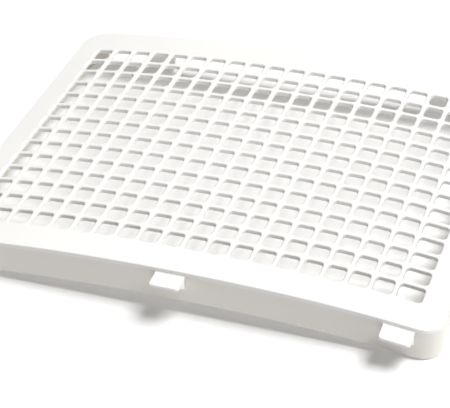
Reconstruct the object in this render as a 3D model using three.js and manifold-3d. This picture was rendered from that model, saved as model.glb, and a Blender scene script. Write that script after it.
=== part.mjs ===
// Snap-in queen excluder cover: an arched white grille in a shallow skirted frame.
// Units are millimetres. X runs along the long side, Y points to the back edge with
// the snap latches, and Z points up from the surface that the side skirts stand on.
import * as THREE from "three";
import { mergeVertices } from "three/addons/utils/BufferGeometryUtils.js";
import Module from "manifold-3d";

const manifoldLibrary = await Module();
manifoldLibrary.setup();

// Grille: a worker bee passes a 4.3 mm gap and a queen doesn't.
const columns = 20;
const rows = 14;
const columnPitch = 5.25;
const rowPitch = 5.5;
const holeWidth = 4.3;
const holeLength = 4.5;
const lastColumnExtra = 1.3;
const frontRowExtra = 0.4;
const gridMargin = 0.95;

// Frame around the grille.
const sideRim = 5.8;
const frontRim = 7.9;
const backRim = 8.55;
const cornerRadius = 5;
const plateThickness = 1.1;
const wallThickness = 1.2;
const skirtHeight = 8;
const backSkirtHeight = 5.4;

// The arch bends a little more towards both ends than at the crown.
const crownRadius = 614;
const endBend = 9e-8;

// Fixed catches along the front skirt.
const catchSpacing = 50;
const catchWidth = 6.6;
const catchReach = 4.5;
const catchDrop = 1.1;
const catchThickness = 0.8;
const catchCorner = 0.8;
const gussetHeight = 2.4;
const gussetThickness = 0.9;
const gussetTipSetBack = 0.6;
const gussetTipHeight = 0.15;

// Flexing latches in the back skirt.
const latchSpacing = 76;
const latchRootWidth = 9;
const latchTipWidth = 6.4;
const latchSlot = 0.8;
const latchRootGap = 0.3;
const latchFloorGap = 0.7;
const hookReach = 1.2;
const hookHeight = 2.6;
const hookLip = 0.4;
const hookSideInset = 0.4;

// Values that follow from the ones above.
const gridWidth = (columns - 1) * columnPitch + holeWidth + lastColumnExtra;
const gridLength = (rows - 1) * rowPitch + holeLength + frontRowExtra;
const shellWidth = gridWidth + 2 * sideRim;
const shellDepth = gridLength + frontRim + backRim;
const wallInnerX = shellWidth / 2 - wallThickness;
const crownHeight = archDrop(wallInnerX) + skirtHeight;
const overallDepth = catchReach + shellDepth + hookReach;
const frontY = -overallDepth / 2 + catchReach;
const backY = frontY + shellDepth;
const gridBackY = backY - backRim;
const gridFrontY = gridBackY - gridLength;
const cutLow = -10;
const cutHigh = 30;
const weldDistance = 1e-5;
const cornerSegments = 8;

const whiteGrille = { color: 0xf2f1ec, roughness: 0.42, metalness: 0 };
const whiteFrame = { color: 0xf0efea, roughness: 0.42, metalness: 0 };
const whiteSkirt = { color: 0xeeede8, roughness: 0.45, metalness: 0 };
const whiteSnap = { color: 0xf1f0eb, roughness: 0.4, metalness: 0 };

function archDrop(x) {
  return (x * x) / (2 * crownRadius) + endBend * x ** 4;
}

// The arch is faceted at the middle of each web, at the ends of the grille, at the side
// walls and at the outer edges, so that every piece of the shell shares the same facets.
function archStations() {
  const firstHole = -gridWidth / 2;
  const firstWeb = firstHole + holeWidth + (columnPitch - holeWidth) / 2;
  const webs = Array.from({ length: columns - 1 }, (_, i) => firstWeb + i * columnPitch);
  const edges = [gridWidth / 2, wallInnerX, shellWidth / 2].flatMap((x) => [-x, x]);
  return [...webs, ...edges].sort((a, b) => a - b);
}

function solid(geometry) {
  geometry.deleteAttribute("normal");
  geometry.deleteAttribute("uv");
  const merged = mergeVertices(geometry, weldDistance);
  const vertProperties = new Float32Array(merged.attributes.position.array);
  const triVerts = new Uint32Array(merged.index.array);
  return new manifoldLibrary.Manifold(
    new manifoldLibrary.Mesh({ numProp: 3, vertProperties, triVerts }),
  );
}

function node(name, body, finish) {
  const mesh = body.getMesh();
  const geometry = new THREE.BufferGeometry();
  geometry.setAttribute("position", new THREE.BufferAttribute(mesh.vertProperties, 3));
  geometry.setIndex(new THREE.BufferAttribute(mesh.triVerts, 1));
  const flat = geometry.toNonIndexed();
  flat.computeVertexNormals();
  const made = new THREE.Mesh(flat, new THREE.MeshStandardMaterial(finish));
  made.name = name;
  return made;
}

function together(...members) {
  const set = new THREE.Group();
  set.add(...members);
  return set;
}

function polygon(points) {
  return new THREE.Shape(points.map(([x, y]) => new THREE.Vector2(x, y)));
}

// A plan outline raised through the whole height of the part, to cut layers with.
function column(shape) {
  const geometry = new THREE.ExtrudeGeometry(shape, {
    depth: cutHigh - cutLow,
    bevelEnabled: false,
    curveSegments: cornerSegments,
  });
  geometry.translate(0, 0, cutLow);
  return solid(geometry);
}

function block(x0, x1, y0, y1) {
  return column(polygon([[x0, y0], [x1, y0], [x1, y1], [x0, y1]]));
}

function roundedPlan(inset) {
  const x = shellWidth / 2 - inset;
  const low = frontY + inset;
  const high = backY - inset;
  const r = cornerRadius - inset;
  const shape = new THREE.Shape();
  shape.absarc(x - r, high - r, r, 0, Math.PI / 2);
  shape.absarc(-x + r, high - r, r, Math.PI / 2, Math.PI);
  shape.absarc(-x + r, low + r, r, Math.PI, 1.5 * Math.PI);
  shape.absarc(x - r, low + r, r, 1.5 * Math.PI, 2 * Math.PI);
  return shape;
}

// A layer between two curves over X, run from front to back.
function layer(topAt, bottomAt) {
  const stations = archStations();
  const top = stations.map((x) => [x, topAt(x)]);
  const bottom = stations.map((x) => [x, bottomAt(x)]).reverse();
  const geometry = new THREE.ExtrudeGeometry(polygon([...bottom, ...top]), {
    depth: overallDepth,
    bevelEnabled: false,
  });
  geometry.rotateX(Math.PI / 2);
  geometry.translate(0, overallDepth / 2, 0);
  return solid(geometry);
}

// The outer surface, and a level below it. The walls stand level on the surface
// under the part, so the arch stops at the inner face of each side wall there.
function outerZ(x) {
  return crownHeight - archDrop(x);
}

function levelBelow(depth) {
  return (x) => outerZ(x) - depth;
}

function skirtFoot(height) {
  return (x) => outerZ(Math.min(Math.abs(x), wallInnerX)) - height;
}

function allHoles() {
  const left = -gridWidth / 2;
  const holes = [];
  for (let across = 0; across < columns; across++) {
    for (let along = 0; along < rows; along++) {
      const x0 = left + across * columnPitch;
      const x1 = x0 + holeWidth + (across === columns - 1 ? lastColumnExtra : 0);
      const y1 = gridBackY - along * rowPitch;
      const y0 = y1 - holeLength - (along === rows - 1 ? frontRowExtra : 0);
      holes.push(block(x0, x1, y0, y1));
    }
  }
  return manifoldLibrary.Manifold.union(holes);
}

function topPlate() {
  const plate = layer(outerZ, levelBelow(plateThickness)).intersect(column(roundedPlan(0)));
  const x = gridWidth / 2 + gridMargin;
  const front = gridFrontY - gridMargin;
  const back = gridBackY + gridMargin;
  const far = shellWidth;
  const zone = {
    grid_panel: block(-x, x, front, back).subtract(allHoles()),
    front_rim: block(-far, far, -far, front),
    back_rim: block(-far, far, back, far),
    left_rim: block(-far, -x, front, back),
    right_rim: block(x, far, front, back),
  };
  return together(
    node("grid_panel", plate.intersect(zone.grid_panel), whiteGrille),
    ...["front_rim", "back_rim", "left_rim", "right_rim"].map((name) =>
      node(name, plate.intersect(zone[name]), whiteFrame),
    ),
  );
}

function skirts() {
  const ring = column(roundedPlan(0)).subtract(column(roundedPlan(wallThickness)));
  const wall = layer(levelBelow(plateThickness), skirtFoot(skirtHeight)).intersect(ring);
  const shortWall = layer(levelBelow(plateThickness), levelBelow(backSkirtHeight)).intersect(ring);
  const straightX = shellWidth / 2 - cornerRadius;
  const frontStart = frontY + cornerRadius;
  const backStart = backY - cornerRadius;
  const far = shellWidth;
  const slotHalf = latchRootWidth / 2 + latchSlot;
  const innerSlot = latchSpacing / 2 - slotHalf;
  const outerSlot = latchSpacing / 2 + slotHalf;
  const members = {
    front_skirt: wall.intersect(block(-straightX, straightX, -far, frontStart)),
    left_skirt: wall.intersect(block(-far, 0, frontStart, backStart)),
    right_skirt: wall.intersect(block(0, far, frontStart, backStart)),
    front_left_corner: wall.intersect(block(-far, -straightX, -far, frontStart)),
    front_right_corner: wall.intersect(block(straightX, far, -far, frontStart)),
    back_left_corner: wall.intersect(block(-far, -straightX, backStart, far)),
    back_right_corner: wall.intersect(block(straightX, far, backStart, far)),
    back_skirt_left: shortWall.intersect(block(-straightX, -outerSlot, backStart, far)),
    back_skirt_centre: shortWall.intersect(block(-innerSlot, innerSlot, backStart, far)),
    back_skirt_right: shortWall.intersect(block(outerSlot, straightX, backStart, far)),
  };
  return together(
    ...Object.entries(members).map(([name, body]) => node(name, body, whiteSkirt)),
  );
}

// A catch is a shelf with rounded outer corners, held by a gusset under each end.
function catchShelf(name, centre) {
  const half = catchWidth / 2;
  const r = catchCorner;
  const tip = frontY - catchReach;
  const shape = new THREE.Shape();
  shape.moveTo(centre - half, frontY);
  shape.lineTo(centre - half, tip + r);
  shape.absarc(centre - half + r, tip + r, r, Math.PI, 1.5 * Math.PI);
  shape.absarc(centre + half - r, tip + r, r, 1.5 * Math.PI, 2 * Math.PI);
  shape.lineTo(centre + half, frontY);
  const shelf = layer(levelBelow(catchDrop), levelBelow(catchDrop + catchThickness));
  return node(name, shelf.intersect(column(shape)), whiteSnap);
}

function catchGusset(name, x0) {
  const x1 = x0 + gussetThickness;
  const under = catchDrop + catchThickness;
  const root = Math.min(outerZ(x0), outerZ(x1)) - under - gussetHeight;
  const tipY = frontY - catchReach + gussetTipSetBack;
  const tipZ = Math.min(outerZ(x0), outerZ(x1)) - under - gussetTipHeight;
  const side = polygon([[frontY, root], [frontY, cutHigh], [tipY, cutHigh], [tipY, tipZ]]);
  const geometry = new THREE.ExtrudeGeometry(side, { depth: gussetThickness, bevelEnabled: false });
  geometry.rotateX(Math.PI / 2);
  geometry.rotateZ(Math.PI / 2);
  geometry.translate(x0, 0, 0);
  const below = layer(levelBelow(under), () => 0);
  return node(name, solid(geometry).intersect(below), whiteSnap);
}

function frontCatch(place, centre) {
  const half = catchWidth / 2;
  return together(
    catchShelf(`front_catch_${place}`, centre),
    catchGusset(`catch_gusset_${place}_1`, centre - half),
    catchGusset(`catch_gusset_${place}_2`, centre + half - gussetThickness),
  );
}

// A latch is a tapered leaf in line with the back skirt, with a wedge hook outside its tip.
function rearLatch(place, centre) {
  const rootHalf = latchRootWidth / 2;
  const tipHalf = latchTipWidth / 2;
  const rootZ = outerZ(Math.abs(centre) + rootHalf) - plateThickness - latchRootGap;
  const face = polygon([
    [centre - tipHalf, latchFloorGap],
    [centre + tipHalf, latchFloorGap],
    [centre + rootHalf, rootZ],
    [centre - rootHalf, rootZ],
  ]);
  const leaf = new THREE.ExtrudeGeometry(face, { depth: wallThickness, bevelEnabled: false });
  leaf.rotateX(Math.PI / 2);
  leaf.translate(0, backY, 0);

  const wedge = polygon([
    [backY, latchFloorGap],
    [backY + hookReach, latchFloorGap + hookHeight - hookLip],
    [backY + hookReach, latchFloorGap + hookHeight],
    [backY, latchFloorGap + hookHeight],
  ]);
  const hookWidth = latchTipWidth - 2 * hookSideInset;
  const hook = new THREE.ExtrudeGeometry(wedge, { depth: hookWidth, bevelEnabled: false });
  hook.rotateX(Math.PI / 2);
  hook.rotateZ(Math.PI / 2);
  hook.translate(centre - hookWidth / 2, 0, 0);
  return together(
    node(`rear_latch_${place}`, solid(leaf), whiteSnap),
    node(`rear_hook_${place}`, solid(hook), whiteSnap),
  );
}

const excluder = together(
  topPlate(),
  skirts(),
  frontCatch("left", -catchSpacing),
  frontCatch("centre", 0),
  frontCatch("right", catchSpacing),
  rearLatch("left", -latchSpacing / 2),
  rearLatch("right", latchSpacing / 2),
);

export default excluder;
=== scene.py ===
import math

import bmesh
import bpy
from mathutils import Matrix, Vector


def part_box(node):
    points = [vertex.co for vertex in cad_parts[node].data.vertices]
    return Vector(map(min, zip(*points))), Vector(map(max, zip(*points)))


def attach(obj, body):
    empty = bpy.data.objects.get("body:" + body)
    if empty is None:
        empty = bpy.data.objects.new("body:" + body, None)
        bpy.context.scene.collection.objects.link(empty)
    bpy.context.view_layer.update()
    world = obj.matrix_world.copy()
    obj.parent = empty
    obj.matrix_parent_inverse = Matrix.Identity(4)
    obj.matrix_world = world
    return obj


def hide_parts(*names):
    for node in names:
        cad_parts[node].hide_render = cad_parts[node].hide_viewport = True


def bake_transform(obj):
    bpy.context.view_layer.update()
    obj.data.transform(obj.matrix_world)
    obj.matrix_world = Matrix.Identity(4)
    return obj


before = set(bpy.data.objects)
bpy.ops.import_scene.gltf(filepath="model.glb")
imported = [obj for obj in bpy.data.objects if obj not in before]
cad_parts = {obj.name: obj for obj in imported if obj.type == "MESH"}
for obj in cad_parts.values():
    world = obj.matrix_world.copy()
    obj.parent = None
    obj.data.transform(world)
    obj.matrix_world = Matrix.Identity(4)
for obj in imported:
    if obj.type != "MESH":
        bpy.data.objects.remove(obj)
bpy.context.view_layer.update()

# ---- Camera ----
# A long lens looks down on the cover from in front of it and a little to the right.
sight = Vector((0.0017, -0.01466, 0.008))
azimuth = math.radians(21.11)
elevation = math.radians(36.39)
roll = math.radians(-2.87)
distance = 0.3626
sensor_width, focal_length = 36.0, 127.6
nearest = 0.01
lens = bpy.data.cameras.new("product_lens")
lens.sensor_width = sensor_width
lens.lens = focal_length
lens.clip_start = nearest
camera = bpy.data.objects.new("product_camera", lens)
bpy.context.collection.objects.link(camera)
towards_camera = Vector((
    math.cos(elevation) * math.sin(azimuth),
    -math.cos(elevation) * math.cos(azimuth),
    math.sin(elevation),
))
level = towards_camera.to_track_quat("Z", "Y").to_matrix().to_4x4()
camera.matrix_world = (
    Matrix.Translation(sight + distance * towards_camera) @ level @ Matrix.Rotation(roll, 4, "Z")
)
bpy.context.scene.camera = camera

# ---- Floor and light ----
# A table covered in white matt paper with a faint fibre, lit weakly from beneath so that shadows
# stay light. One large square softbox hangs overhead, leaning to the right.


def feed(tree, source, socket):
    """Links a socket to what feeds it, or sets its value."""
    if isinstance(source, bpy.types.NodeSocket):
        tree.links.new(source, socket)
    else:
        socket.default_value = source


def noise(tree, position, scale, detail, distortion=0.0):
    """Soft noise. The scale is in spots per metre."""
    node = tree.nodes.new("ShaderNodeTexNoise")
    feed(tree, position, node.inputs["Vector"])
    feed(tree, scale, node.inputs["Scale"])
    node.inputs["Detail"].default_value = detail
    node.inputs["Distortion"].default_value = distortion
    return node.outputs[0]


def calculate(tree, operation, a, b):
    """One sum on two numbers."""
    node = tree.nodes.new("ShaderNodeMath")
    node.operation = operation
    feed(tree, a, node.inputs[0])
    feed(tree, b, node.inputs[1])
    return node.outputs[0]


def contrast(tree, value, low, high):
    """Stretches the values between low and high to 0 and 1, with soft ends."""
    node = tree.nodes.new("ShaderNodeMapRange")
    node.interpolation_type = "SMOOTHSTEP"
    feed(tree, value, node.inputs["Value"])
    node.inputs["From Min"].default_value = low
    node.inputs["From Max"].default_value = high
    return node.outputs[0]


def mix(tree, kind, share, a, b):
    """Mixes two numbers (FLOAT) or two colours (RGBA)."""
    node = tree.nodes.new("ShaderNodeMix")
    node.data_type = kind
    first = {"FLOAT": 2, "RGBA": 6}[kind]
    feed(tree, share, node.inputs[0])
    feed(tree, a, node.inputs[first])
    feed(tree, b, node.inputs[first + 1])
    return node.outputs[{"FLOAT": 0, "RGBA": 2}[kind]]


def new_effect(name, inputs, outputs):
    """An empty node group, with its tree, its inner inputs and its inner outputs."""
    tree = bpy.data.node_groups.new(name, "ShaderNodeTree")
    for label, kind in inputs:
        tree.interface.new_socket(label, in_out="INPUT", socket_type=f"NodeSocket{kind}")
    for label, kind in outputs:
        tree.interface.new_socket(label, in_out="OUTPUT", socket_type=f"NodeSocket{kind}")
    return tree, tree.nodes.new("NodeGroupInput").outputs, tree.nodes.new("NodeGroupOutput").inputs


def place_effect(tree, effect, **values):
    """Places a node group in a material. A name's underscores stand for spaces."""
    node = tree.nodes.new("ShaderNodeGroup")
    node.node_tree = effect
    for label, value in values.items():
        feed(tree, value, node.inputs[label.replace("_", " ")])
    return node.outputs


# Fine grain over a broad, much lower waviness.
grain, taken, given = new_effect(
    "surface_grain",
    [("Position", "Vector"), ("Fineness", "Float"), ("Waviness", "Float")],
    [("Height", "Float")],
)
broad_to_fine = 0.03
broad_scale = calculate(grain, "MULTIPLY", taken["Fineness"], broad_to_fine)
fine = noise(grain, taken["Position"], taken["Fineness"], detail=3.0)
broad = noise(grain, taken["Position"], broad_scale, detail=1.0)
feed(grain, mix(grain, "FLOAT", taken["Waviness"], fine, broad), given["Height"])

# Slow changes of shade, and smoother patches where hands or tools have rubbed.
variation, taken, given = new_effect(
    "surface_variation",
    [
        ("Position", "Vector"), ("Patches", "Float"),
        ("Main Colour", "Color"), ("Other Colour", "Color"),
        ("Roughness", "Float"), ("Rubbed Roughness", "Float"),
    ],
    [("Colour", "Color"), ("Roughness", "Float")],
)
drift = noise(variation, taken["Position"], taken["Patches"], detail=4.0, distortion=0.8)
shade = contrast(variation, drift, low=0.35, high=0.7)
feed(
    variation,
    mix(variation, "RGBA", shade, taken["Main Colour"], taken["Other Colour"]),
    given["Colour"],
)
rubs_to_patches = 3.7
rub_scale = calculate(variation, "MULTIPLY", taken["Patches"], rubs_to_patches)
rubs = noise(variation, taken["Position"], rub_scale, detail=5.0, distortion=0.3)
rubbed = contrast(variation, rubs, low=0.45, high=0.65)
feed(
    variation,
    mix(variation, "FLOAT", rubbed, taken["Roughness"], taken["Rubbed Roughness"]),
    given["Roughness"],
)

floor_width = 6.0
fibre_height = 0.00003
glow_colour, glow = (1.0, 0.998, 0.99, 1), 0.17
bpy.ops.object.select_all(action="DESELECT")
bpy.ops.mesh.primitive_plane_add(size=floor_width)
floor = bpy.context.object
floor.name = "studio_floor"
paper = bpy.data.materials.new("matt_paper")
paper.use_nodes = True
tree = paper.node_tree
position = tree.nodes.new("ShaderNodeTexCoord").outputs["Object"]
look = place_effect(
    tree, variation, Position=position, Patches=9.0,
    Main_Colour=(0.725, 0.722, 0.716, 1), Other_Colour=(0.712, 0.708, 0.7, 1),
    Roughness=0.9, Rubbed_Roughness=0.84,
)
fibres = place_effect(tree, grain, Position=position, Fineness=2600.0, Waviness=0.25)
surface = tree.nodes["Principled BSDF"]
surface.inputs["Emission Color"].default_value = glow_colour
surface.inputs["Emission Strength"].default_value = glow
bump = tree.nodes.new("ShaderNodeBump")
bump.inputs["Strength"].default_value = 0.15
bump.inputs["Distance"].default_value = fibre_height
feed(tree, fibres["Height"], bump.inputs["Height"])
feed(tree, look["Colour"], surface.inputs["Base Color"])
feed(tree, look["Roughness"], surface.inputs["Roughness"])
feed(tree, bump.outputs[0], surface.inputs["Normal"])
floor.data.materials.append(paper)

world = bpy.data.worlds.new("studio_air")
bpy.context.scene.world = world
world.use_nodes = True
air = world.node_tree
room_light, backdrop_light = 0.1, 0.95
seen = air.nodes.new("ShaderNodeLightPath").outputs["Is Camera Ray"]
air.nodes["Background"].inputs["Color"].default_value = (1, 1, 1, 1)
feed(
    air, mix(air, "FLOAT", seen, room_light, backdrop_light),
    air.nodes["Background"].inputs["Strength"],
)

key_height = 4.0
key_size = 1.8
key_power = 208
lean_right = math.radians(25)
lean_back = math.radians(1.5)
key_direction = Vector((math.tan(lean_right), math.tan(lean_back), 1)).normalized()
key_place = key_direction * key_height
key = bpy.data.lights.new("key_softbox", "AREA")
key.shape = "SQUARE"
key.size = key_size
key.energy = key_power
key_lamp = bpy.data.objects.new("key_softbox", key)
bpy.context.collection.objects.link(key_lamp)
facing = key_place.to_track_quat("Z", "Y").to_matrix().to_4x4()
key_lamp.matrix_world = Matrix.Translation(key_place) @ facing
bpy.context.scene.view_settings.view_transform = "Standard"

# ---- Top plate ----
# The grille and its border are one sheet of white plastic, 1.1 mm thick, moulded in one shot.
# The 280 square holes have rounded corners, and every edge has a small moulded radius.
columns, rows = 20, 14
column_pitch, row_pitch = 0.00525, 0.0055
hole_width, hole_length = 0.0043, 0.0045
wide_hole, long_hole = 0.0056, 0.0049
hole_corner, hole_corner_steps = 0.0009, 4
side_web = (column_pitch - hole_width) / 2
cross_web = (row_pitch - hole_length) / 2
left_edge, front_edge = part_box("front_rim")[0][:2]
right_edge, back_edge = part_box("back_rim")[1][:2]
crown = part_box("grid_panel")[1][2]
plate_thickness = 0.0011
plan_corner, plan_corner_steps = 0.005, 16
crown_radius = 0.614
end_bend = 90.0
first_hole = -(hole_width * (columns - 1) + wide_hole + 2 * side_web * (columns - 1)) / 2
back_rim_width = 0.00855
back_hole = back_edge - back_rim_width
tiny = 1e-6


def arch_z(x):
    """Height of the outer surface over the ground at x."""
    return crown - x * x / (2 * crown_radius) - end_bend * x ** 4


def pick(piece, kind, wanted):
    """In edit mode, selects only the vertices, edges or faces that are wanted."""
    bpy.ops.mesh.select_mode(type=kind)
    bpy.ops.mesh.select_all(action="DESELECT")
    shape = bmesh.from_edit_mesh(piece.data)
    parts = {"VERT": shape.verts, "EDGE": shape.edges, "FACE": shape.faces}[kind]
    for part in parts:
        if wanted(part):
            part.select_set(True)
    shape.select_flush_mode()
    bmesh.update_edit_mesh(piece.data)


def repeat(piece, count, step):
    """Copies the piece in a row, each copy joined to the last."""
    bpy.context.view_layer.objects.active = piece
    bpy.ops.object.modifier_add(type="ARRAY")
    array = piece.modifiers[-1]
    array.count = count
    array.use_relative_offset = False
    array.use_constant_offset = True
    array.constant_offset_displace = step
    array.use_merge_vertices = True
    array.merge_threshold = tiny
    bpy.ops.object.modifier_apply(modifier=array.name)


def hole_cell(column, row):
    """One hole and the half webs around it, as a flat ring of faces."""
    width = wide_hole if column == columns - 1 else hole_width
    length = long_hole if row == rows - 1 else hole_length
    centre_x = first_hole + column * column_pitch + width / 2
    centre_y = back_hole - row * row_pitch - length / 2
    bpy.ops.object.select_all(action="DESELECT")
    bpy.ops.mesh.primitive_plane_add(size=1)
    cell = bpy.context.object
    cell.scale = (width, length, 1)
    bpy.ops.object.transform_apply(location=False, rotation=False, scale=True)
    bpy.ops.object.mode_set(mode="EDIT")
    bpy.ops.mesh.bevel(offset=hole_corner, segments=hole_corner_steps, affect="VERTICES")
    bpy.ops.mesh.select_mode(type="EDGE")
    bpy.ops.mesh.select_all(action="SELECT")
    bpy.ops.mesh.extrude_edges_move()
    ring = bmesh.from_edit_mesh(cell.data)
    for point in (v for v in ring.verts if v.select):
        across = abs(point.co.x) - width / 2 + hole_corner
        along = abs(point.co.y) - length / 2 + hole_corner
        if across > along - tiny:
            point.co.x = math.copysign(width / 2 + side_web, point.co.x)
        if along > across - tiny:
            point.co.y = math.copysign(length / 2 + cross_web, point.co.y)
    pick(cell, "FACE", lambda face: len(face.verts) > 4)
    bpy.ops.mesh.delete(type="ONLY_FACE")
    bpy.ops.mesh.select_all(action="SELECT")
    bpy.ops.transform.translate(value=(centre_x, centre_y, 0))
    bpy.ops.object.mode_set(mode="OBJECT")
    return cell


inner_cells = hole_cell(0, 0)
repeat(inner_cells, columns - 1, (column_pitch, 0, 0))
repeat(inner_cells, rows - 1, (0, -row_pitch, 0))
right_cells = hole_cell(columns - 1, 0)
repeat(right_cells, rows - 1, (0, -row_pitch, 0))
front_cells = hole_cell(0, rows - 1)
repeat(front_cells, columns - 1, (column_pitch, 0, 0))
corner_cell = hole_cell(columns - 1, rows - 1)
bpy.ops.object.select_all(action="DESELECT")
for part in (inner_cells, right_cells, front_cells, corner_cell):
    part.select_set(True)
bpy.context.view_layer.objects.active = inner_cells
bpy.ops.object.join()
top_plate = bpy.context.object
top_plate.name = "top_plate"

bpy.ops.object.mode_set(mode="EDIT")
bpy.ops.mesh.select_all(action="SELECT")
bpy.ops.mesh.remove_doubles(threshold=tiny)
points = [v.co for v in bmesh.from_edit_mesh(top_plate.data).verts]
cells_left, cells_right = min(p.x for p in points), max(p.x for p in points)
cells_front, cells_back = min(p.y for p in points), max(p.y for p in points)
borders = (
    ("x", cells_left, (left_edge - cells_left, 0, 0)),
    ("x", cells_right, (right_edge - cells_right, 0, 0)),
    ("y", cells_front, (0, front_edge - cells_front, 0)),
    ("y", cells_back, (0, back_edge - cells_back, 0)),
)
for axis, place, move in borders:
    pick(
        top_plate, "EDGE",
        lambda edge: all(abs(getattr(v.co, axis) - place) < tiny for v in edge.verts),
    )
    bpy.ops.mesh.extrude_edges_move(TRANSFORM_OT_translate={"value": move})
pick(
    top_plate, "VERT",
    lambda v: min(abs(v.co.x - left_edge), abs(v.co.x - right_edge)) < tiny
    and min(abs(v.co.y - front_edge), abs(v.co.y - back_edge)) < tiny,
)
bpy.ops.mesh.bevel(offset=plan_corner, segments=plan_corner_steps, affect="VERTICES")
pick(top_plate, "FACE", lambda face: len(face.verts) > 4)
bpy.ops.mesh.poke()
bpy.ops.mesh.select_all(action="SELECT")
bpy.ops.mesh.normals_make_consistent(inside=False)
sheet = bmesh.from_edit_mesh(top_plate.data)
sheet.faces.ensure_lookup_table()
if sheet.faces[0].normal.z < 0:
    bpy.ops.mesh.flip_normals()
bpy.ops.object.mode_set(mode="OBJECT")


def on_outline(edge):
    """True for an edge of the sheet that has a face on one side only, outside the grille."""
    middle = (edge.verts[0].co + edge.verts[1].co) / 2
    outside_x = not cells_left - tiny < middle.x < cells_right + tiny
    outside_y = not cells_front - tiny < middle.y < cells_back + tiny
    return edge.is_boundary and (outside_x or outside_y)


# The skirt starts as a copy of the sheet's outline, so that the two meet flush.
bpy.ops.object.mode_set(mode="EDIT")
pick(top_plate, "EDGE", on_outline)
bpy.ops.mesh.duplicate()
bpy.ops.mesh.separate(type="SELECTED")
bpy.ops.object.mode_set(mode="OBJECT")
skirt = next(o for o in bpy.context.selected_objects if o is not top_plate)
skirt.name = "skirt"


def add_modifier(piece, kind, **settings):
    """Adds a modifier with its settings and applies it."""
    bpy.ops.object.select_all(action="DESELECT")
    piece.select_set(True)
    bpy.context.view_layer.objects.active = piece
    bpy.ops.object.modifier_add(type=kind)
    modifier = piece.modifiers[-1]
    for name, value in settings.items():
        setattr(modifier, name, value)
    bpy.ops.object.modifier_apply(modifier=modifier.name)


def round_edges(piece, weights, width, segments=3):
    """Rounds edges. weights gives each edge its share of the width, or 0."""
    bpy.context.view_layer.objects.active = piece
    bpy.ops.object.mode_set(mode="EDIT")
    for share in sorted({weight for _, weight in weights}):
        for wanted, weight in weights:
            if weight == share:
                pick(piece, "EDGE", wanted)
                bpy.ops.transform.edge_bevelweight(value=share)
    bpy.ops.object.mode_set(mode="OBJECT")
    add_modifier(piece, "BEVEL", width=width, segments=segments, limit_method="WEIGHT")


def smooth(piece, sharper_than=math.radians(40)):
    """Smooth shading that keeps flat faces flat and real corners sharp."""
    bpy.ops.object.select_all(action="DESELECT")
    piece.select_set(True)
    bpy.context.view_layer.objects.active = piece
    bpy.ops.object.shade_smooth_by_angle(angle=sharper_than)
    add_modifier(piece, "WEIGHTED_NORMAL", keep_sharp=True)


def is_corner(edge):
    """True for an edge between two faces that meet at a real corner."""
    return len(edge.link_faces) == 2 and edge.calc_face_angle() > math.radians(60)


def height(edge):
    """Height of the middle of the edge."""
    return (edge.verts[0].co.z + edge.verts[1].co.z) / 2


grain_strength = 0.35
plastic_ior = 1.49


def stretch(tree, position, scale):
    """Draws a pattern out along the axes whose scale is under 1."""
    node = tree.nodes.new("ShaderNodeMapping")
    feed(tree, position, node.inputs["Vector"])
    feed(tree, scale, node.inputs["Scale"])
    return node.outputs[0]


def moulded_plastic(
    name, colour, other, roughness, rubbed, patches, fineness, waviness, depth, along=(1, 1, 1)
):
    """White moulded plastic. The grain and the patches are drawn out where along is under 1."""
    plastic = bpy.data.materials.new(name)
    plastic.use_nodes = True
    tree = plastic.node_tree
    position = tree.nodes.new("ShaderNodeTexCoord").outputs["Object"]
    drawn = stretch(tree, position, along)
    look = place_effect(
        tree, variation, Position=drawn, Patches=patches,
        Main_Colour=(*colour, 1), Other_Colour=(*other, 1),
        Roughness=roughness, Rubbed_Roughness=rubbed,
    )
    skin = place_effect(tree, grain, Position=drawn, Fineness=fineness, Waviness=waviness)
    bump = tree.nodes.new("ShaderNodeBump")
    bump.inputs["Strength"].default_value = grain_strength
    bump.inputs["Distance"].default_value = depth
    feed(tree, skin["Height"], bump.inputs["Height"])
    surface = tree.nodes["Principled BSDF"]
    surface.inputs["IOR"].default_value = plastic_ior
    feed(tree, look["Colour"], surface.inputs["Base Color"])
    feed(tree, look["Roughness"], surface.inputs["Roughness"])
    feed(tree, bump.outputs[0], surface.inputs["Normal"])
    return plastic


def finish(piece, plastic):
    """Gives the piece its one material."""
    piece.data.materials.clear()
    piece.data.materials.append(plastic)


def in_grille(edge):
    """True for an edge inside the field of holes."""
    middle = (edge.verts[0].co + edge.verts[1].co) / 2
    return cells_left < middle.x < cells_right and cells_front < middle.y < cells_back


add_modifier(top_plate, "SOLIDIFY", thickness=plate_thickness, offset=-1)
# The pins that form the holes are tapered, so each hole is a little smaller underneath.
hole_taper = 0.00007
for point in top_plate.data.vertices:
    column = min(int((point.co.x - first_hole + side_web) / column_pitch), columns - 1)
    row = min(int((back_hole - point.co.y + cross_web) / row_pitch), rows - 1)
    width = wide_hole if column == columns - 1 else hole_width
    length = long_hole if row == rows - 1 else hole_length
    across = point.co.x - (first_hole + column * column_pitch + width / 2)
    along = point.co.y - (back_hole - row * row_pitch - length / 2)
    on_hole = abs(across) < width / 2 + tiny and abs(along) < length / 2 + tiny
    if on_hole and point.co.z < -plate_thickness / 2:
        point.co.x -= hole_taper * across / (width / 2)
        point.co.y -= hole_taper * along / (length / 2)
hole_radius = 0.00035
outer_share = 0.8
underside_share = 0.43
round_edges(
    top_plate,
    (
        (lambda e: is_corner(e) and height(e) > -tiny and in_grille(e), 1.0),
        (lambda e: is_corner(e) and height(e) > -tiny and not in_grille(e), outer_share),
        (
            lambda e: is_corner(e) and height(e) < -plate_thickness + tiny and in_grille(e),
            underside_share,
        ),
    ),
    hole_radius,
)
for point in top_plate.data.vertices:
    point.co.z += arch_z(point.co.x)
smooth(top_plate)
finish(top_plate, moulded_plastic(
    "plate_plastic", colour=(0.904, 0.896, 0.876), other=(0.892, 0.884, 0.862),
    roughness=0.4, rubbed=0.33, patches=38.0, fineness=5200.0, waviness=0.3, depth=0.00002,
))
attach(top_plate, "shell")
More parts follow.
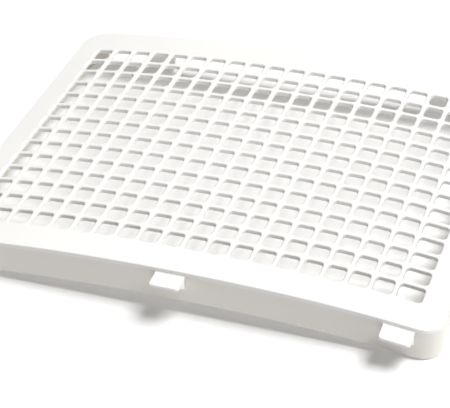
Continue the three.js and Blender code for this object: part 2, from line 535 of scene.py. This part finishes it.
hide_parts("grid_panel", "front_rim", "back_rim", "left_rim", "right_rim")

# ---- Skirt ----
# The walls are drawn down from the edge of the plate, 1.2 mm thick, and stand level on the two
# short sides. The back wall is shorter, and is cut through on both sides of each snap latch.
wall_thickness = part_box("front_skirt")[1][1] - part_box("front_skirt")[0][1]
skirt_height = 0.008
back_skirt_height = 0.0054
foot_inner = right_edge - wall_thickness
wall_end = right_edge - plan_corner
wall_radius = 0.00025
inner_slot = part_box("back_skirt_centre")[1][0]
outer_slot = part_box("back_skirt_right")[0][0]
bpy.ops.object.select_all(action="DESELECT")
skirt.select_set(True)
bpy.context.view_layer.objects.active = skirt
bpy.ops.object.mode_set(mode="EDIT")
bpy.ops.mesh.select_mode(type="EDGE")
bpy.ops.mesh.select_all(action="SELECT")
bpy.ops.transform.translate(value=(0, 0, -plate_thickness))
for drop in (back_skirt_height - plate_thickness, skirt_height - back_skirt_height):
    bpy.ops.mesh.extrude_edges_move(TRANSFORM_OT_translate={"value": (0, 0, -drop)})
for cut in (wall_end, outer_slot, inner_slot):
    for side in (-1, 1):
        pick(skirt, "FACE", lambda f: f.calc_center_median().y > back_edge - tiny)
        bpy.ops.mesh.bisect(plane_co=(side * cut, 0, 0), plane_no=(1, 0, 0))
pick(
    skirt, "FACE",
    lambda f: f.calc_center_median().y > back_edge - tiny
    and (
        f.calc_center_median().z < -back_skirt_height and abs(f.calc_center_median().x) < wall_end
        or inner_slot < abs(f.calc_center_median().x) < outer_slot
    ),
)
bpy.ops.mesh.delete(type="FACE")
bpy.ops.mesh.select_all(action="SELECT")
bpy.ops.mesh.normals_make_consistent(inside=False)
walls = bmesh.from_edit_mesh(skirt.data)
outermost = max(walls.faces, key=lambda f: f.calc_center_median().x)
if outermost.normal.x < 0:
    bpy.ops.mesh.flip_normals()
bpy.ops.object.mode_set(mode="OBJECT")
add_modifier(skirt, "SOLIDIFY", thickness=wall_thickness, offset=-1, use_even_offset=True)
round_edges(
    skirt,
    ((lambda e: is_corner(e) and height(e) < -plate_thickness - tiny, 1.0),),
    wall_radius,
)
for point in skirt.data.vertices:
    is_foot = point.co.z < -back_skirt_height - wall_radius * 2
    drop_x = min(abs(point.co.x), foot_inner) if is_foot else point.co.x
    point.co.z += arch_z(drop_x)
smooth(skirt)
# The walls slide out of the mould, which draws their grain into faint upright streaks.
# The walls are the same plastic as the plate. Their colour is set darker and a little warmer than
# the plate's, which is painted shade for the upright walls.
finish(skirt, moulded_plastic(
    "shaded_wall_plastic", colour=(0.852, 0.822, 0.776), other=(0.839, 0.808, 0.761),
    roughness=0.44, rubbed=0.36, patches=60.0, fineness=4200.0, waviness=0.35, depth=0.00002,
    along=(1, 1, 0.25),
))
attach(skirt, "shell")
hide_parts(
    "front_skirt", "left_skirt", "right_skirt",
    "back_skirt_left", "back_skirt_centre", "back_skirt_right",
    "front_left_corner", "front_right_corner", "back_left_corner", "back_right_corner",
)

# ---- Front catches ----
# Three fixed shelves stand out of the front skirt, to hook under a ledge. Each has rounded outer
# corners, a small fillet at its root, and a thin gusset under each end. They are moulded on.
catch_drop = 0.0011
shelf_thickness = 0.0008
shelf_corner, shelf_corner_steps = 0.0008, 8
shelf_radius = 0.00018
root_fillet = 0.0002
# A gusset keeps its full depth for the first share of its reach, then sweeps up to its tip, where
# it ends in a small hook. The cuts are the shares of the reach at which its lower edge may bend.
gusset_radius = 0.00012
gusset_root, gusset_tip = 0.00235, 0.00015
gusset_hold, gusset_sweep = 0.15, 1.7
gusset_hook, hook_centre, hook_spread = 0.00012, 0.94, 0.1
gusset_cuts = (0.08, 0.16, 0.28, 0.4, 0.52, 0.64, 0.74, 0.82, 0.88, 0.94)
catch_plastic = moulded_plastic(
    "catch_plastic", colour=(0.908, 0.895, 0.87), other=(0.895, 0.882, 0.855),
    roughness=0.36, rubbed=0.3, patches=150.0, fineness=5600.0, waviness=0.4, depth=0.000018,
)


def block_between(name, low, high):
    """A block with the two corners given, left in edit mode with all of it selected."""
    bpy.ops.object.select_all(action="DESELECT")
    bpy.ops.mesh.primitive_cube_add(size=1)
    piece = bpy.context.object
    piece.name = name
    piece.scale = [b - a for a, b in zip(low, high)]
    piece.location = [(a + b) / 2 for a, b in zip(low, high)]
    bpy.ops.object.transform_apply(location=True, rotation=True, scale=True)
    bpy.ops.object.mode_set(mode="EDIT")
    bpy.ops.mesh.select_all(action="SELECT")
    return piece


def follow_arch(piece, level):
    """Drops the piece, made with its top at 0, to its level under the arch."""
    for point in piece.data.vertices:
        point.co.z += arch_z(point.co.x) - level


for place in ("left", "centre", "right"):
    low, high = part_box(f"front_catch_{place}")
    shelf = block_between(
        f"front_catch_{place}", (low[0], low[1], -shelf_thickness), (high[0], high[1], 0)
    )
    pick(
        shelf, "EDGE",
        lambda e: all(v.co.y < low[1] + tiny for v in e.verts)
        and abs(e.verts[0].co.z - e.verts[1].co.z) > tiny,
    )
    bpy.ops.mesh.bevel(offset=shelf_corner, segments=shelf_corner_steps, affect="EDGES")
    bpy.ops.mesh.select_all(action="SELECT")
    bpy.ops.mesh.bisect(plane_co=(0, high[1] - root_fillet, 0), plane_no=(0, 1, 0))
    pick(shelf, "FACE", lambda f: f.calc_center_median().y > high[1] - tiny)
    bpy.ops.transform.resize(value=(
        1 + 2 * root_fillet / (high[0] - low[0]), 1, 1 + 2 * root_fillet / shelf_thickness
    ))
    bpy.ops.object.mode_set(mode="OBJECT")
    round_edges(
        shelf,
        ((lambda e: is_corner(e) and min(v.co.y for v in e.verts) < high[1] - tiny, 1.0),),
        shelf_radius,
    )
    follow_arch(shelf, catch_drop)
    smooth(shelf)
    finish(shelf, catch_plastic)
    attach(shelf, "shell")
    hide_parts(f"front_catch_{place}")

    for end in ("1", "2"):
        name = f"catch_gusset_{place}_{end}"
        low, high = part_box(name)
        gusset = block_between(name, (low[0], low[1], -gusset_root), (high[0], high[1], 0))
        reach = high[1] - low[1]
        for share in gusset_cuts:
            bpy.ops.mesh.select_all(action="SELECT")
            bpy.ops.mesh.bisect(plane_co=(0, low[1] + share * reach, 0), plane_no=(0, 1, 0))
        for point in bmesh.from_edit_mesh(gusset.data).verts:
            if point.co.z < -tiny:
                out = (high[1] - point.co.y) / reach
                fall = min(1, max(0, (1 - out) / (1 - gusset_hold))) ** gusset_sweep
                hook = max(0, 1 - abs(out - hook_centre) / hook_spread) * gusset_hook
                point.co.z = -gusset_tip - hook - (gusset_root - gusset_tip) * fall
        bpy.ops.object.mode_set(mode="OBJECT")
        round_edges(
            gusset,
            (
                (
                    lambda e: is_corner(e) and height(e) < -tiny
                    and abs(e.verts[0].co.x - e.verts[1].co.x) < tiny,
                    1.0,
                ),
            ),
            gusset_radius,
        )
        follow_arch(gusset, catch_drop + shelf_thickness)
        smooth(gusset)
        finish(gusset, catch_plastic)
        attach(gusset, "shell")
        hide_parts(name)

# ---- Rear latches ----
# Two tapered leaves hang from the back of the plate in gaps of the back wall. Each has a wedge
# hook outside its tip. On the real part the leaf bends inwards at its root when the cover is
# pressed into place. Here it stays rigid, with extra rows of faces across the root.
root_bend, bend_cuts = 0.0028, 6
root_top = 0.0095
hook_lip = 0.0004
tip_half = 0.0032
leaf_radius = 0.0002
latch_plastic = moulded_plastic(
    "latch_plastic", colour=(0.9, 0.886, 0.858), other=(0.888, 0.873, 0.842),
    roughness=0.38, rubbed=0.3, patches=110.0, fineness=4800.0, waviness=0.35, depth=0.00002,
    along=(1, 1, 0.35),
)
# Bending has whitened the plastic a little across the root of each leaf.
crease_colour = (0.95, 0.945, 0.935, 1)
crease_strength = 0.7
crease_top = 0.0006
wander_scale, wander_height = 700.0, 0.0006
tree = latch_plastic.node_tree
surface = tree.nodes["Principled BSDF"]
root_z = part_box("rear_latch_left")[1][2]
position = tree.nodes["Texture Coordinate"].outputs["Object"]
upright = tree.nodes.new("ShaderNodeSeparateXYZ")
feed(tree, position, upright.inputs[0])
wander = noise(tree, position, wander_scale, detail=3.0)
raised = calculate(tree, "MULTIPLY", wander, wander_height)
level_of = calculate(tree, "ADD", upright.outputs[2], raised)
rising = contrast(tree, level_of, root_z - root_bend, root_z - root_bend / 2)
falling = contrast(tree, level_of, root_z + crease_top, root_z - root_bend / 3)
crease = calculate(tree, "MULTIPLY", rising, falling)
share = calculate(tree, "MULTIPLY", crease, crease_strength)
plain_colour = surface.inputs["Base Color"].links[0].from_socket
feed(tree, mix(tree, "RGBA", share, plain_colour, crease_colour), surface.inputs["Base Color"])
for place in ("left", "right"):
    low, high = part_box(f"rear_latch_{place}")
    hook_low, hook_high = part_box(f"rear_hook_{place}")
    leaf = block_between(f"rear_latch_{place}", low, (high[0], high[1], root_top))
    centre_x = (low[0] + high[0]) / 2
    for cut in (hook_low[0], centre_x, hook_high[0]):
        bpy.ops.mesh.select_all(action="SELECT")
        bpy.ops.mesh.bisect(plane_co=(cut, 0, 0), plane_no=(1, 0, 0))
    bend_levels = [high[2] - root_bend * k / (bend_cuts - 1) for k in range(bend_cuts)]
    for level_z in (hook_high[2], *bend_levels):
        bpy.ops.mesh.select_all(action="SELECT")
        bpy.ops.mesh.bisect(plane_co=(0, 0, level_z), plane_no=(0, 0, 1))
    pick(
        leaf, "FACE",
        lambda f: f.calc_center_median().y > high[1] - tiny
        and f.calc_center_median().z < hook_high[2]
        and abs(f.calc_center_median().x - centre_x) < (hook_high[0] - hook_low[0]) / 2,
    )
    hook_out = (0, hook_high[1] - high[1], 0)
    bpy.ops.mesh.extrude_region_move(TRANSFORM_OT_translate={"value": hook_out})
    pick(leaf, "VERT", lambda v: v.co.y > high[1] + tiny and v.co.z < low[2] + tiny)
    bpy.ops.transform.translate(value=(0, 0, hook_high[2] - low[2] - hook_lip))
    for point in bmesh.from_edit_mesh(leaf.data).verts:
        from_centre = point.co.x - centre_x
        if abs(from_centre) > (high[0] - low[0]) / 2 - tiny:
            up = (point.co.z - low[2]) / (high[2] - low[2])
            half = tip_half + ((high[0] - low[0]) / 2 - tip_half) * min(up, 1)
            point.co.x = centre_x + math.copysign(half, from_centre)
        if point.co.z > root_top - tiny:
            point.co.z = arch_z(point.co.x) - plate_thickness
    bpy.ops.object.mode_set(mode="OBJECT")
    round_edges(
        leaf,
        (
            (
                lambda e: is_corner(e)
                and not all(v.co.z > arch_z(v.co.x) - plate_thickness - tiny for v in e.verts),
                1.0,
            ),
        ),
        leaf_radius,
    )
    smooth(leaf)
    finish(leaf, latch_plastic)
    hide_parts(f"rear_latch_{place}", f"rear_hook_{place}")
    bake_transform(leaf)
